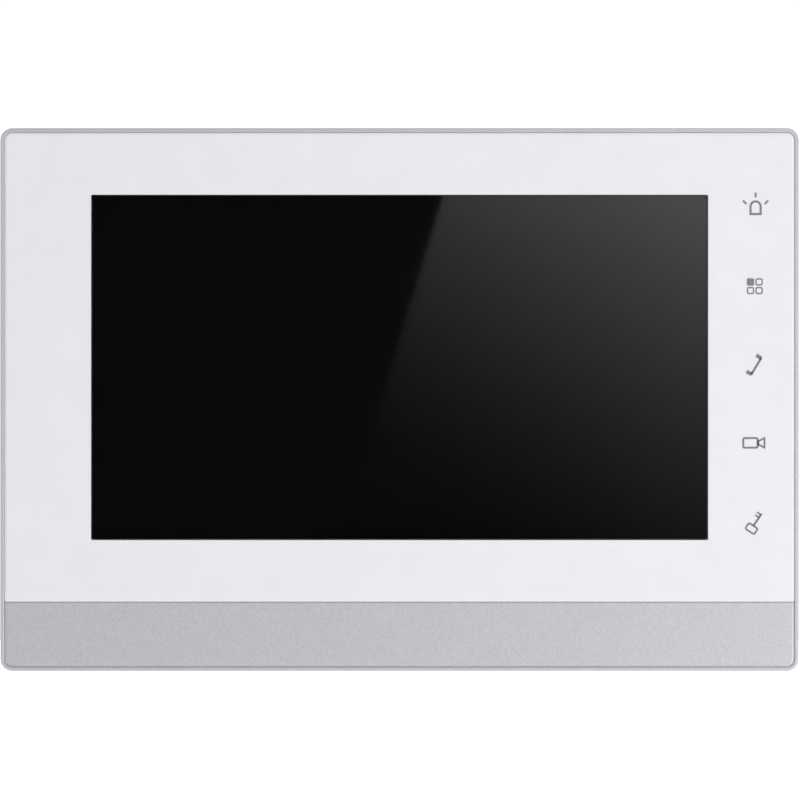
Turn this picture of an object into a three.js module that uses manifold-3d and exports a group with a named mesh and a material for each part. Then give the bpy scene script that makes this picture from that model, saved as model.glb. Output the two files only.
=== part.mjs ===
// A wall-hung video intercom monitor with a 7 inch screen and five touch keys.
//
// Millimetres. X runs across the width, Z points up and the front faces -Y.
// The origin lies on the wall, behind the middle of the monitor. Every depth is
// a Y, so a face nearer the room has the lower number.

import * as THREE from 'three';
import { mergeVertices } from 'three/addons/utils/BufferGeometryUtils.js';
import Module from 'manifold-3d';

const wasm = await Module();
wasm.setup();

// ---------------------------------------------------------------- dimensions

// Casing
const WIDTH = 200;
const HEIGHT = 136;
const DEPTH = 26;
const CORNER = 3;
const RIM = 1;                    // the frame's edge, seen all round the front
const SEAM = 0.4;                 // shadow line between the rim and the front pieces
const WALL = 2;                   // thickness of both moulded shells
const BAND_HEIGHT = 15.8;         // metal band below the white panel

// Screen: the panel's live area is 154.08 x 85.92
const SCREEN_WIDTH = 154.5;
const SCREEN_HEIGHT = 86.4;
const SCREEN_Z = 8.1;
const MODULE_WIDTH = 165;
const MODULE_HEIGHT = 100;
const MODULE_DEPTH = 5.7;

// Depths, from the room back to the wall
const RIM_FRONT = -DEPTH;
const PANEL_FRONT = RIM_FRONT + 0.1;
const PANEL_THICKNESS = 2;
const PANEL_BACK = PANEL_FRONT + PANEL_THICKNESS;
const FLOOR_FRONT = PANEL_BACK + 0.2;
const FLOOR_BACK = FLOOR_FRONT + 1.5;
const MODULE_FRONT = FLOOR_BACK + 0.8;
const MODULE_BACK = MODULE_FRONT + MODULE_DEPTH;
const FRAME_BACK = -15;
const COVER_FRONT = FRAME_BACK + 0.3;
const COVER_BACK = -0.8;
const RECESS_BACK = -3.8;         // the recess that holds the bracket and its screw heads
const BOARD_FRONT = -12.6;
const BOARD_BACK = -11;

// Touch keys, from the top: their height on the panel
const KEY_X = 89;
const KEYS = { sos: 48.6, menu: 28.4, call: 8.7, monitor: -10.8, unlock: -32.2 };

// Wall bracket and its four hooks
const BRACKET_WIDTH = 100;
const BRACKET_HEIGHT = 94;
const BRACKET_Z = 2;
const STEEL = 1.2;
const HOOK_X = 40;
const HOOK_ROWS = [26, -22];      // height of each neck's upper face
const HOOK_WIDTH = 8;
const HOOK_RISE = 6;              // how far the finger stands above the neck
const LIFT = 8;                   // lift that frees the monitor from the hooks
const SCREW_SLOT = { length: 10, width: 4.5 };
const SCREW_SEAT = { margin: 2.8, rise: 0.3 };
const SLOT_CENTRES = [            // 83.5 apart up the middle, 60 apart across
  { x: 0, z: BRACKET_Z + 83.5 / 2, level: true },
  { x: 0, z: BRACKET_Z - 83.5 / 2, level: true },
  { x: -30, z: 8, level: false },
  { x: 30, z: 8, level: false },
];
const CABLE_WINDOW = { width: 62, height: 24, middle: -20 };

// Fasteners: the height and side of each
const CASE_SCREWS = [[-90.5, 60.5], [90.5, 60.5], [-90.5, -60.5], [90.5, -60.5]];
const BOARD_SCREWS = [[-42, 40], [76, 40], [-42, -50], [76, -50]];
const TOUCH_SCREWS = [38.5, -21.5];
const WALL_PADS = [[-78, 46], [78, 46], [-84, -4], [78, -46]];

// Loudspeaker, in the lower left of the rear cover
const SPEAKER = { x: -71, z: -30, radius: 17, screws: 19.6 };
const SLOT_HEIGHT = 1.6;
const SLOT_PITCH = 3.2;
const VENTS = { x: 70, low: 8, length: 24, rows: 8, pitch: 4 };

// Board-mounted sockets for the door stations, a second monitor and the supply
const SOCKET_Z = -20;
const SOCKETS = [
  { name: 'door_1_socket', x: -23, pins: 4 },
  { name: 'door_2_socket', x: -7, pins: 4 },
  { name: 'extension_socket', x: 9, pins: 4 },
  { name: 'power_socket', x: 23, pins: 2 },
];
const PIN_PITCH = 2.5;

// Controls that travel
const CONTROL_Y = -11.8;
const RESET_X = 30;
const RESET_TOP = -59.2;          // where the plunger ends, inside
const RESET_TRAVEL = 0.5;
const SWITCH_Z = -26;
const SWITCH_TRAVEL = 3;

// Microphone, behind the lower edge
const MIC = { x: 58, y: -18.9 };

// ----------------------------------------------------------------- materials

function material(colour, roughness, metalness) {
  return new THREE.MeshStandardMaterial({ color: colour, roughness, metalness });
}

const whiteAcrylic = material(0xebebf0, 0.3, 0);
const clearAcrylic = material(0x0b0b0c, 0.08, 0);
const silverPaint = material(0xc0c0c4, 0.4, 0.3);
const satinAluminium = material(0xc6c5ca, 0.38, 0.85);
const casingPlastic = material(0xd8d8dc, 0.55, 0);
const zincSteel = material(0xa9acaf, 0.42, 0.9);
const blackGlass = material(0x08080a, 0.12, 0);
const greenBoard = material(0x1d5a38, 0.5, 0);
const chipResin = material(0x17181a, 0.6, 0);
const nylon = material(0xe9e6dc, 0.5, 0);
const blackPlastic = material(0x202124, 0.55, 0);
const blackRubber = material(0x18181a, 0.85, 0);
const foam = material(0x2a2b2d, 0.95, 0);
const paperCone = material(0x2b2b2a, 0.9, 0);
const ferrite = material(0x3a3a3c, 0.6, 0.2);
const polyimide = material(0xb9772a, 0.4, 0);
const tapeWhite = material(0xdedcd6, 0.8, 0);

// -------------------------------------------------------- solids and booleans

// Turns a closed three.js geometry into a solid that can be joined and cut.
function solid(geometry) {
  geometry.deleteAttribute('normal');
  geometry.deleteAttribute('uv');
  const merged = mergeVertices(geometry, 1e-4);
  return new wasm.Manifold(new wasm.Mesh({
    numProp: 3,
    vertProperties: new Float32Array(merged.attributes.position.array),
    triVerts: new Uint32Array(merged.index.array),
  }));
}

function geometryOf(body) {
  const mesh = body.getMesh();
  const geometry = new THREE.BufferGeometry();
  geometry.setAttribute('position', new THREE.BufferAttribute(mesh.vertProperties, 3));
  geometry.setIndex(new THREE.BufferAttribute(mesh.triVerts, 1));
  geometry.computeVertexNormals();
  return geometry;
}

// A rectangle with round corners, drawn in X and Z about a centre. The lower
// two corners may have a radius of their own.
function roundedRectangle(width, height, radius, x = 0, z = 0, lowRadius = radius) {
  const right = x + width / 2;
  const left = x - width / 2;
  const top = z + height / 2 - radius;
  const bottom = z - height / 2 + lowRadius;
  const shape = new THREE.Shape();
  shape.absarc(right - radius, top, radius, 0, Math.PI / 2);
  shape.absarc(left + radius, top, radius, Math.PI / 2, Math.PI);
  shape.absarc(left + lowRadius, bottom, lowRadius, Math.PI, Math.PI * 1.5);
  shape.absarc(right - lowRadius, bottom, lowRadius, Math.PI * 1.5, Math.PI * 2);
  return shape;
}

// An X-Z outline made solid between two depths.
function slab(shape, near, far, curveSegments = 5) {
  const geometry = new THREE.ExtrudeGeometry(shape, {
    depth: far - near,
    bevelEnabled: false,
    curveSegments,
  });
  return solid(geometry.rotateX(Math.PI / 2).translate(0, far, 0));
}

function roundedSlab(width, height, radius, near, far, x = 0, z = 0) {
  return slab(roundedRectangle(width, height, radius, x, z), near, far);
}

// A narrow slot through the rear cover, with round ends.
function ventSlot(length, x, z) {
  return slab(roundedRectangle(length, SLOT_HEIGHT, SLOT_HEIGHT * 0.45, x, z), -9, 1, 2);
}

// A rectangular block given by its two limits on each axis.
function block([x0, x1], [y0, y1], [z0, z1]) {
  const geometry = new THREE.BoxGeometry(x1 - x0, y1 - y0, z1 - z0);
  return solid(geometry.translate((x0 + x1) / 2, (y0 + y1) / 2, (z0 + z1) / 2));
}

// A round rod along Y, between two depths.
function rod(radius, near, far, x = 0, z = 0, sides = 20) {
  const geometry = new THREE.CylinderGeometry(radius, radius, far - near, sides);
  return solid(geometry.translate(x, (near + far) / 2, z));
}

// A round rod along Z, between two heights.
function upright(radius, low, high, x = 0, y = 0, sides = 20) {
  const geometry = new THREE.CylinderGeometry(radius, radius, high - low, sides);
  return solid(geometry.rotateX(Math.PI / 2).translate(x, y, (low + high) / 2));
}

// A solid of revolution about a line along Y. The profile is a closed list of
// [radius, depth] corners, in the order that puts the metal on their left.
function turned(profile, x, z, sides = 28) {
  const points = [...profile, profile[0]].map(([r, y]) => new THREE.Vector2(r, y));
  return solid(new THREE.LatheGeometry(points, sides).translate(x, 0, z));
}

function cut(body, ...tools) {
  return tools.reduce((left, tool) => left.subtract(tool), body);
}

function join(body, ...others) {
  return others.reduce((sum, other) => sum.add(other), body);
}

function named(name, body, look) {
  const mesh = new THREE.Mesh(geometryOf(body), look);
  mesh.name = name;
  return mesh;
}

// --------------------------------------------------------------- wall bracket

// One hook: a tab bent forward out of the plate, its end turned up as a finger.
function hook(x, top) {
  const sides = [x - HOOK_WIDTH / 2, x + HOOK_WIDTH / 2];
  const fingerFront = RECESS_BACK - WALL - 0.3 - STEEL;
  const neck = block(sides, [fingerFront, -STEEL / 2], [top - STEEL, top]);
  const finger = block(sides, [fingerFront, fingerFront + STEEL], [top - STEEL, top + HOOK_RISE]);
  return neck.add(finger);
}

// The hole that the hook's tab was cut from.
function hookHole(x, top) {
  const half = HOOK_WIDTH / 2 + 0.5;
  return block([x - half, x + half], [-STEEL - 1, 1], [top, top + HOOK_RISE + 4.5]);
}

function wallBracket() {
  const through = [-STEEL - 1, 1];
  const plateForm = roundedSlab(BRACKET_WIDTH, BRACKET_HEIGHT, 5, -STEEL, 0, 0, BRACKET_Z);
  const { width, height, middle } = CABLE_WINDOW;
  let plate = plateForm.subtract(roundedSlab(width, height, 3, ...through, 0, middle));
  // Each screw slot runs through a seat that is pressed up out of the plate.
  const { length, width: slotWidth } = SCREW_SLOT;
  const margin = SCREW_SEAT.margin * 2;
  for (const { x, z, level } of SLOT_CENTRES) {
    const [wide, tall] = level ? [length, slotWidth] : [slotWidth, length];
    const seatFront = -STEEL - SCREW_SEAT.rise;
    const seat = roundedSlab(wide + margin, tall + margin, 2, seatFront, -STEEL / 2, x, z);
    const slot = slab(roundedRectangle(wide, tall, slotWidth * 0.48, x, z), ...through, 3);
    plate = plate.add(seat).subtract(slot);
  }
  for (const x of [-HOOK_X, HOOK_X]) {
    for (const top of HOOK_ROWS) {
      plate = plate.subtract(hookHole(x, top)).add(hook(x, top));
    }
  }
  return plate;
}

// ------------------------------------------------------------- moulded shells

const POCKET_WIDTH = WIDTH - 2 * RIM;
const POCKET_HEIGHT = HEIGHT - 2 * RIM;
const INNER_WIDTH = WIDTH - 2 * WALL;
const INNER_HEIGHT = HEIGHT - 2 * WALL;

// The frame: a rim, a floor behind the front pieces and a skirt to the back.
function frontFrame() {
  let frame = roundedSlab(WIDTH, HEIGHT, CORNER, RIM_FRONT, FRAME_BACK);
  frame = cut(
    frame,
    roundedSlab(POCKET_WIDTH, POCKET_HEIGHT, CORNER - RIM, RIM_FRONT - 1, FLOOR_FRONT),
    roundedSlab(INNER_WIDTH, INNER_HEIGHT, 1.5, FLOOR_BACK, FRAME_BACK + 1),
    roundedSlab(SCREEN_WIDTH + 2.5, SCREEN_HEIGHT + 2.5, 1, RIM_FRONT, FLOOR_BACK + 1, 0, SCREEN_Z),
    upright(0.9, -HEIGHT / 2 - 1, -HEIGHT / 2 + WALL + 1, MIC.x, MIC.y, 12),
  );
  for (const [x, z] of CASE_SCREWS) {
    const boss = rod(3, FLOOR_BACK - 0.5, BOARD_FRONT - 0.6, x, z);
    frame = frame.add(boss).subtract(rod(1.2, FLOOR_BACK + 1, 0, x, z, 12));
  }
  for (const z of TOUCH_SCREWS) {
    const post = rod(2, FLOOR_BACK - 0.5, TOUCH_BOARD_FRONT - 0.1, KEY_X, z, 16);
    frame = frame.add(post).subtract(rod(0.8, FLOOR_BACK + 0.6, 0, KEY_X, z, 10));
  }
  // Four ribs keep the screen module centred behind its opening.
  const ribX = MODULE_WIDTH / 2 + 0.3;
  const ribDepth = [FLOOR_BACK - 0.5, FLOOR_BACK + 4];
  for (const z of [SCREEN_Z - 30, SCREEN_Z + 30]) {
    frame = frame.add(block([ribX, ribX + 1], ribDepth, [z - 4, z + 4]));
    frame = frame.add(block([-ribX - 1, -ribX], ribDepth, [z - 4, z + 4]));
  }
  return frame;
}

// The rear cover's outer form, shrunk by an inset. It stands straight behind
// the frame, then slopes in to a smaller back.
function coverForm(inset) {
  const halfWidth = WIDTH / 2 - 0.3 - inset;
  const halfHeight = HEIGHT / 2 - 0.3 - inset;
  const back = COVER_BACK - inset;
  const shoulder = -9 - inset * 0.4;
  const slope = 10 - inset * 0.4;
  const front = COVER_FRONT - (inset > 0 ? 3 : 0);
  const taper = (half) => new THREE.Shape([
    new THREE.Vector2(-half, front),
    new THREE.Vector2(half, front),
    new THREE.Vector2(half, shoulder),
    new THREE.Vector2(half - slope, back),
    new THREE.Vector2(slope - half, back),
    new THREE.Vector2(-half, shoulder),
  ]);
  const prism = (half, length) => {
    const geometry = new THREE.ExtrudeGeometry(taper(half), { depth: length, bevelEnabled: false });
    return geometry.translate(0, 0, -length / 2);
  };
  const acrossWidth = solid(prism(halfWidth, HEIGHT));
  const acrossHeight = solid(prism(halfHeight, WIDTH).rotateY(Math.PI / 2));
  const outline = roundedSlab(halfWidth * 2, halfHeight * 2, CORNER - 0.2, front, back);
  return outline.intersect(acrossWidth).intersect(acrossHeight);
}

// Slots that follow a circle, over the loudspeaker.
function grille(x, z, radius, pitch) {
  const slots = [];
  const rows = Math.ceil(radius / pitch) - 1;
  for (let row = -rows; row <= rows; row += 1) {
    const rowZ = row * pitch;
    const half = Math.sqrt(radius * radius - rowZ * rowZ);
    slots.push(ventSlot(half * 2, x, z + rowZ));
  }
  return slots;
}

// Cutters for the controls: a hole for the reset button in the lower wall, and
// a sunk slot for the power switch in the right one.
function controlOpenings() {
  const side = WIDTH / 2 - 0.3;
  const depth = (half) => [CONTROL_Y - half, CONTROL_Y + half];
  const height = (half) => [SWITCH_Z - half, SWITCH_Z + half + SWITCH_TRAVEL];
  return [
    upright(1.7, -HEIGHT / 2 - 1, -HEIGHT / 2 + 4, RESET_X, CONTROL_Y, 16),
    block([side - 1, side + 1], depth(1.9), height(5.5)),
    block([side - 4, side + 1], depth(1.4), height(2.4)),
  ];
}

function rearCover() {
  const gap = 1.2;
  const recessLow = BRACKET_Z - BRACKET_HEIGHT / 2 - LIFT - gap;
  const recessHigh = BRACKET_Z + BRACKET_HEIGHT / 2 + gap;
  const recessMiddle = (recessLow + recessHigh) / 2;
  const recessHeight = recessHigh - recessLow;
  const recessWidth = BRACKET_WIDTH + 3;
  let cover = coverForm(0).subtract(coverForm(WALL));
  // The recess for the bracket, pressed into the back as a shallow tray.
  const tray = roundedSlab(recessWidth + 2 * WALL, recessHeight + 2 * WALL, 6,
    RECESS_BACK - WALL, COVER_BACK - 0.5, 0, recessMiddle);
  const trayHollow = roundedSlab(recessWidth, recessHeight, 4, RECESS_BACK, 1, 0, recessMiddle);
  cover = cover.add(tray);
  for (const [x, z] of BOARD_SCREWS) {
    const post = rod(2.6, BOARD_BACK + 0.1, COVER_BACK - 1, x, z, 16);
    cover = cover.add(post).subtract(rod(0.9, BOARD_BACK - 1, -6, x, z, 10));
  }
  cover = cover.subtract(trayHollow);
  // The tongue that goes inside the frame's skirt.
  const tongue = roundedSlab(INNER_WIDTH - 0.8, INNER_HEIGHT - 0.8, 1.4, FRAME_BACK - 2, COVER_FRONT + 2)
    .subtract(roundedSlab(INNER_WIDTH - 3.4, INNER_HEIGHT - 3.4, 1, FRAME_BACK - 3, COVER_FRONT + 3));
  cover = cover.add(tongue);
  for (const [x, z] of CASE_SCREWS) {
    const post = rod(4, BOARD_FRONT - 0.3, COVER_BACK, x, z).intersect(coverForm(0));
    cover = cut(cover.add(post), rod(3.1, -9, 1, x, z), rod(1.7, -15, 1, x, z, 12));
  }
  for (const side of [-1, 1]) {
    const z = SPEAKER.z + side * SPEAKER.screws;
    const post = rod(2, -5.2, -2, SPEAKER.x, z, 16);
    cover = cover.add(post).subtract(rod(0.8, -6, -2.9, SPEAKER.x, z, 10));
  }
  const { width, height, middle } = CABLE_WINDOW;
  cover = cut(
    cover,
    roundedSlab(width + 4, height, 2, -9, 1, 0, middle),
    ...grille(SPEAKER.x, SPEAKER.z, SPEAKER.radius - 4.2, SLOT_PITCH),
  );
  for (let row = 0; row < VENTS.rows; row += 1) {
    cover = cover.subtract(ventSlot(VENTS.length, VENTS.x, VENTS.low + row * VENTS.pitch));
  }
  // Under each hook the slot is tall enough for the monitor to be lifted off.
  const half = HOOK_WIDTH / 2 + gap;
  for (const x of [-HOOK_X, HOOK_X]) {
    for (const top of HOOK_ROWS) {
      const heights = [top - STEEL - LIFT - 0.6, top + 0.3];
      cover = cover.subtract(block([x - half, x + half], [-9, 1], heights));
    }
  }
  // Notches in the tongue clear the microphone and the button's collar.
  const tongueLow = [-HEIGHT / 2 + WALL, -HEIGHT / 2 + WALL + 3];
  return cut(
    cover,
    block([MIC.x - 4, MIC.x + 4], [FRAME_BACK - 3, FRAME_BACK], tongueLow),
    block([RESET_X - 3, RESET_X + 3], [FRAME_BACK - 3, COVER_FRONT + 3], tongueLow),
    ...controlOpenings(),
  );
}

// --------------------------------------------------------------- front pieces

const FRONT_WIDTH = POCKET_WIDTH - 2 * SEAM;
const PANEL_TOP = POCKET_HEIGHT / 2 - SEAM;
const BAND_BOTTOM = -PANEL_TOP;
const BAND_TOP = BAND_BOTTOM + BAND_HEIGHT;
const PANEL_BOTTOM = BAND_TOP + SEAM;

// A plate that spans the front between two heights. It has round corners where
// it follows the frame's corners, and square ones where panel and band meet.
function frontPlate(bottom, top, near, far, shrink = 0) {
  const round = CORNER - RIM - SEAM;
  const square = 0.2;
  const highRadius = top === PANEL_TOP ? round : square;
  const lowRadius = bottom === BAND_BOTTOM ? round : square;
  const width = FRONT_WIDTH - 2 * shrink;
  const height = top - bottom - 2 * shrink;
  const middle = (top + bottom) / 2;
  return slab(roundedRectangle(width, height, highRadius, 0, middle, lowRadius), near, far);
}

function screenHole(extra, near, far) {
  return roundedSlab(SCREEN_WIDTH + extra, SCREEN_HEIGHT + extra, 0.2, near, far, 0, SCREEN_Z);
}

// The white panel: its opening is stepped, so that the window's flange sits
// behind the edge.
function frontPanel() {
  return cut(
    frontPlate(PANEL_BOTTOM, PANEL_TOP, PANEL_FRONT, PANEL_BACK),
    screenHole(0, PANEL_FRONT - 1, PANEL_BACK + 1),
    screenHole(6.5, PANEL_FRONT + 1.05, PANEL_BACK + 1),
  );
}

function screenWindow() {
  const boss = screenHole(-0.3, PANEL_FRONT + 0.15, PANEL_BACK - 0.2);
  const flange = screenHole(5.9, PANEL_FRONT + 1.15, PANEL_BACK);
  return boss.add(flange);
}

function panelTape() {
  return frontPlate(PANEL_BOTTOM, PANEL_TOP, PANEL_BACK + 0.03, FLOOR_FRONT - 0.03, 1)
    .subtract(screenHole(2.9, PANEL_BACK - 1, FLOOR_FRONT + 1));
}

// -------------------------------------------------------------- screen module

// The stamped can that wraps the screen module: a rim in front and a skirt.
function screenCan() {
  const sheet = 0.5;
  const can = roundedSlab(MODULE_WIDTH, MODULE_HEIGHT, 1, MODULE_FRONT, MODULE_BACK - 0.4, 0, SCREEN_Z);
  return cut(
    can,
    roundedSlab(MODULE_WIDTH - 2 * sheet, MODULE_HEIGHT - 2 * sheet, 0.6,
      MODULE_FRONT + sheet, MODULE_BACK + 1, 0, SCREEN_Z),
    screenHole(2, MODULE_FRONT - 1, MODULE_FRONT + 1),
  );
}

function screenLayer(near, far) {
  return roundedSlab(MODULE_WIDTH - 2, MODULE_HEIGHT - 2, 0.5, near, far, 0, SCREEN_Z);
}

function screenGasket() {
  return cut(
    roundedSlab(MODULE_WIDTH - 1, MODULE_HEIGHT - 1, 1, FLOOR_BACK + 0.05, MODULE_FRONT - 0.05, 0, SCREEN_Z),
    screenHole(3.5, FLOOR_BACK - 1, MODULE_FRONT + 1),
  );
}

// A flat cable: a strip of even thickness that follows a route of [Y, Z]
// corners, extruded across its width.
function flatCable(route, middle, width, thickness) {
  const there = route.map(([y, z]) => new THREE.Vector2(y, z));
  const shape = new THREE.Shape(ribbonOutline(there, thickness));
  const geometry = new THREE.ExtrudeGeometry(shape, { depth: width, bevelEnabled: false });
  // The outline's own axes become Y and Z, and its depth becomes X.
  geometry.applyMatrix4(new THREE.Matrix4().set(
    0, 0, 1, middle - width / 2,
    1, 0, 0, 0,
    0, 1, 0, 0,
    0, 0, 0, 1,
  ));
  return solid(geometry);
}

// Both edges of a strip, mitred at each corner of its middle line.
function ribbonOutline(points, thickness) {
  const left = [];
  const right = [];
  points.forEach((point, i) => {
    const before = points[Math.max(i - 1, 0)];
    const after = points[Math.min(i + 1, points.length - 1)];
    const inward = i > 0 ? point.clone().sub(before).normalize() : after.clone().sub(point).normalize();
    const outward = i < points.length - 1 ? after.clone().sub(point).normalize() : inward.clone();
    const along = inward.add(outward).normalize();
    const mitre = thickness / 2 / Math.max(along.dot(outward), 0.3);
    const side = new THREE.Vector2(-along.y, along.x).multiplyScalar(mitre);
    left.push(point.clone().add(side));
    right.push(point.clone().sub(side));
  });
  return [...left, ...right.reverse()];
}

// ----------------------------------------------------------------- touch keys

const TOUCH_BOARD_FRONT = -18.6;
const TOUCH_BOARD_BACK = -17.6;

function touchBoard() {
  let board = roundedSlab(12, 98, 1, TOUCH_BOARD_FRONT, TOUCH_BOARD_BACK, KEY_X + 1, 6);
  for (const z of TOUCH_SCREWS) {
    board = board.subtract(rod(1.2, TOUCH_BOARD_FRONT - 1, TOUCH_BOARD_BACK + 1, KEY_X, z, 12));
  }
  return board;
}

// ------------------------------------------------------------------ main board

function mainBoard() {
  let board = roundedSlab(128, 100, 2, BOARD_FRONT, BOARD_BACK, 17, -4);
  for (const [x, z] of BOARD_SCREWS) {
    board = board.subtract(rod(1.5, BOARD_FRONT - 1, BOARD_BACK + 1, x, z, 12));
  }
  return board;
}

// A board-mounted part: a plain block on the board's rear face.
function onBoard(x, z, width, height, tall) {
  const foot = BOARD_BACK + 0.1;
  return block([x - width / 2, x + width / 2], [foot, foot + tall], [z - height / 2, z + height / 2]);
}

// The shield: a tin lid, open towards the board.
function shieldCan(x, z, width, height, tall) {
  const sheet = 0.4;
  return onBoard(x, z, width, height, tall)
    .subtract(onBoard(x, z, width - 2 * sheet, height - 2 * sheet, tall - sheet)
      .translate([0, -0.2, 0]));
}

// A shrouded socket, open towards the wall, modelled about its own middle.
function socket(pins) {
  const width = pins * PIN_PITCH + 2.4;
  const half = width / 2;
  const tall = 5.8;
  const shell = 0.7;
  const body = block([-half, half], [0, tall], [-2.9, 2.9]);
  const mouth = block([shell - half, half - shell], [0.9, tall + 1], [shell - 2.9, 2.9 - shell]);
  const key = block([-1.2, 1.2], [tall - 3, tall + 1], [2, 4]);
  return cut(body, mouth, key);
}

// -------------------------------------------------------- sound and fasteners

// A pan-head screw with a cross recess. Its head faces the wall (+Y) and its
// seat is at Y = 0, with the shank running towards the room.
function screw(headRadius, headHeight, shankRadius, length) {
  const head = rod(headRadius, 0, headHeight, 0, 0, 16);
  const shank = rod(shankRadius, -length, 0.2, 0, 0, 10);
  const arm = headRadius * 0.55;
  const depth = [headHeight * 0.45, headHeight + 1];
  return cut(
    head.add(shank),
    block([-arm, arm], depth, [-0.3, 0.3]),
    block([-0.3, 0.3], depth, [-arm, arm]),
  );
}

function speakerBasket() {
  const r = SPEAKER.radius;
  return turned([
    [r, -3.9],
    [r - 2.6, -3.9],
    [r - 2.6, -5.4],
    [8, -9.1],
    [8, -9.9],
    [10, -9.9],
    [r, -5],
  ], SPEAKER.x, SPEAKER.z);
}

function speakerCone() {
  const edge = SPEAKER.radius - 2.9;
  return turned([
    [edge, -4.4],
    [5, -7.6],
    [5, -8.3],
    [edge, -5],
  ], SPEAKER.x, SPEAKER.z).add(rod(5.3, -8.2, -7.3, SPEAKER.x, SPEAKER.z, 28));
}

// A thin lead along a curve through hand-chosen points.
function lead(points, radius) {
  const path = new THREE.CatmullRomCurve3(points.map((p) => new THREE.Vector3(...p)));
  const section = new THREE.Shape();
  section.absarc(0, 0, radius, 0, Math.PI * 2);
  return solid(new THREE.ExtrudeGeometry(section, {
    steps: 16,
    curveSegments: 4,
    extrudePath: path,
    bevelEnabled: false,
  }));
}

// ------------------------------------------------------------------- assembly

const intercom = new THREE.Group();
const bracket = new THREE.Group();
const monitor = new THREE.Group();
intercom.add(bracket, monitor);

bracket.add(named('wall_bracket', wallBracket(), zincSteel));

monitor.add(
  named('front_frame', frontFrame(), silverPaint),
  named('rear_cover', rearCover(), casingPlastic),
  named('front_panel', frontPanel(), whiteAcrylic),
  named('screen_window', screenWindow(), clearAcrylic),
  named('trim_band', frontPlate(BAND_BOTTOM, BAND_TOP, PANEL_FRONT, PANEL_BACK), satinAluminium),
  named('panel_tape', panelTape(), tapeWhite),
  named('band_tape', frontPlate(BAND_BOTTOM, BAND_TOP, PANEL_BACK + 0.03, FLOOR_FRONT - 0.03, 2), tapeWhite),
);

monitor.add(
  named('screen_gasket', screenGasket(), foam),
  named('screen_can', screenCan(), zincSteel),
  named('screen_glass', screenLayer(MODULE_FRONT + 0.6, MODULE_FRONT + 2), blackGlass),
  named('backlight', screenLayer(MODULE_FRONT + 2.1, MODULE_BACK), nylon),
);

monitor.add(named('touch_board', touchBoard(), greenBoard));
for (const [key, z] of Object.entries(KEYS)) {
  const pad = named(`touch_pad_${key}`, rod(4.6, FLOOR_BACK + 0.1, TOUCH_BOARD_FRONT - 0.1, 0, 0, 16), foam);
  pad.position.set(KEY_X, 0, z);
  monitor.add(pad);
}
const touchChip = block([86, 92], [TOUCH_BOARD_BACK + 0.1, TOUCH_BOARD_BACK + 1.3], [13, 23]);
monitor.add(named('touch_controller', touchChip, chipResin));

const SHIELD = { x: 62, z: 16, width: 30, height: 28 };
monitor.add(
  named('main_board', mainBoard(), greenBoard),
  named('shield_can', shieldCan(SHIELD.x, SHIELD.z, SHIELD.width, SHIELD.height, 3.4), zincSteel),
  named('video_processor', onBoard(SHIELD.x, SHIELD.z, 16, 16, 1.4), chipResin),
  named('power_inductor', onBoard(-12, 22, 10, 10, 4.2), ferrite),
  named('storage_capacitor', rod(4, BOARD_BACK + 0.1, BOARD_BACK + 4.7, 6, 22, 20), satinAluminium),
);
for (const { name, x, pins } of SOCKETS) {
  const part = named(name, socket(pins), nylon);
  part.position.set(x, BOARD_BACK + 0.1, SOCKET_Z);
  monitor.add(part);
}

const moduleBottom = SCREEN_Z - MODULE_HEIGHT / 2;
monitor.add(named('screen_flat_cable', flatCable([
  [MODULE_BACK - 1.5, moduleBottom - 0.4],
  [MODULE_BACK - 1.5, moduleBottom - 3],
  [MODULE_BACK + 0.5, moduleBottom - 4.2],
  [BOARD_FRONT - 0.4, moduleBottom - 3],
  [BOARD_FRONT - 0.4, moduleBottom + 6],
], 20, 26, 0.3), polyimide));
monitor.add(named('touch_flat_cable', flatCable([
  [TOUCH_BOARD_BACK + 0.4, -26],
  [TOUCH_BOARD_BACK + 0.4, -44.5],
  [-15.6, -46],
  [-14.2, -46],
], 90, 8, 0.3), polyimide));

monitor.add(
  named('speaker_gasket', turned([
    [SPEAKER.radius - 0.3, -3.8],
    [SPEAKER.radius - 0.3, -2.9],
    [SPEAKER.radius - 3, -2.9],
    [SPEAKER.radius - 3, -3.8],
  ], SPEAKER.x, SPEAKER.z), foam),
  named('speaker_basket', speakerBasket(), zincSteel),
  named('speaker_cone', speakerCone(), paperCone),
  named('speaker_magnet', rod(8, -13.9, -10.1, SPEAKER.x, SPEAKER.z, 28), ferrite),
  named('speaker_lead', lead([
    [-66, -13, -22],
    [-58, -13.6, -14],
    [-52, -13.6, -4],
    [-46.5, -13.4, 2],
    [-42, -13.4, 4],
  ], 0.6), blackRubber),
);

const micLow = -HEIGHT / 2 + WALL;
monitor.add(
  named('microphone_boot', cut(
    upright(3, micLow + 0.1, micLow + 4.5, MIC.x, MIC.y),
    upright(2.2, micLow + 1, micLow + 6, MIC.x, MIC.y),
    upright(0.9, micLow - 1, micLow + 2, MIC.x, MIC.y, 12),
  ), blackRubber),
  named('microphone_capsule', upright(2, micLow + 1.2, micLow + 3.6, MIC.x, MIC.y), satinAluminium),
  named('microphone_lead', lead([
    [MIC.x, MIC.y, micLow + 4],
    [MIC.x, MIC.y + 0.6, micLow + 9],
    [MIC.x, -14.2, micLow + 13],
    [MIC.x, -13.4, micLow + 20],
  ], 0.6), blackRubber),
);

// A block at the controls' depth, given by its half thickness along Y.
function controlBlock(across, halfDepth, heights) {
  return block(across, [CONTROL_Y - halfDepth, CONTROL_Y + halfDepth], heights);
}

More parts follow.
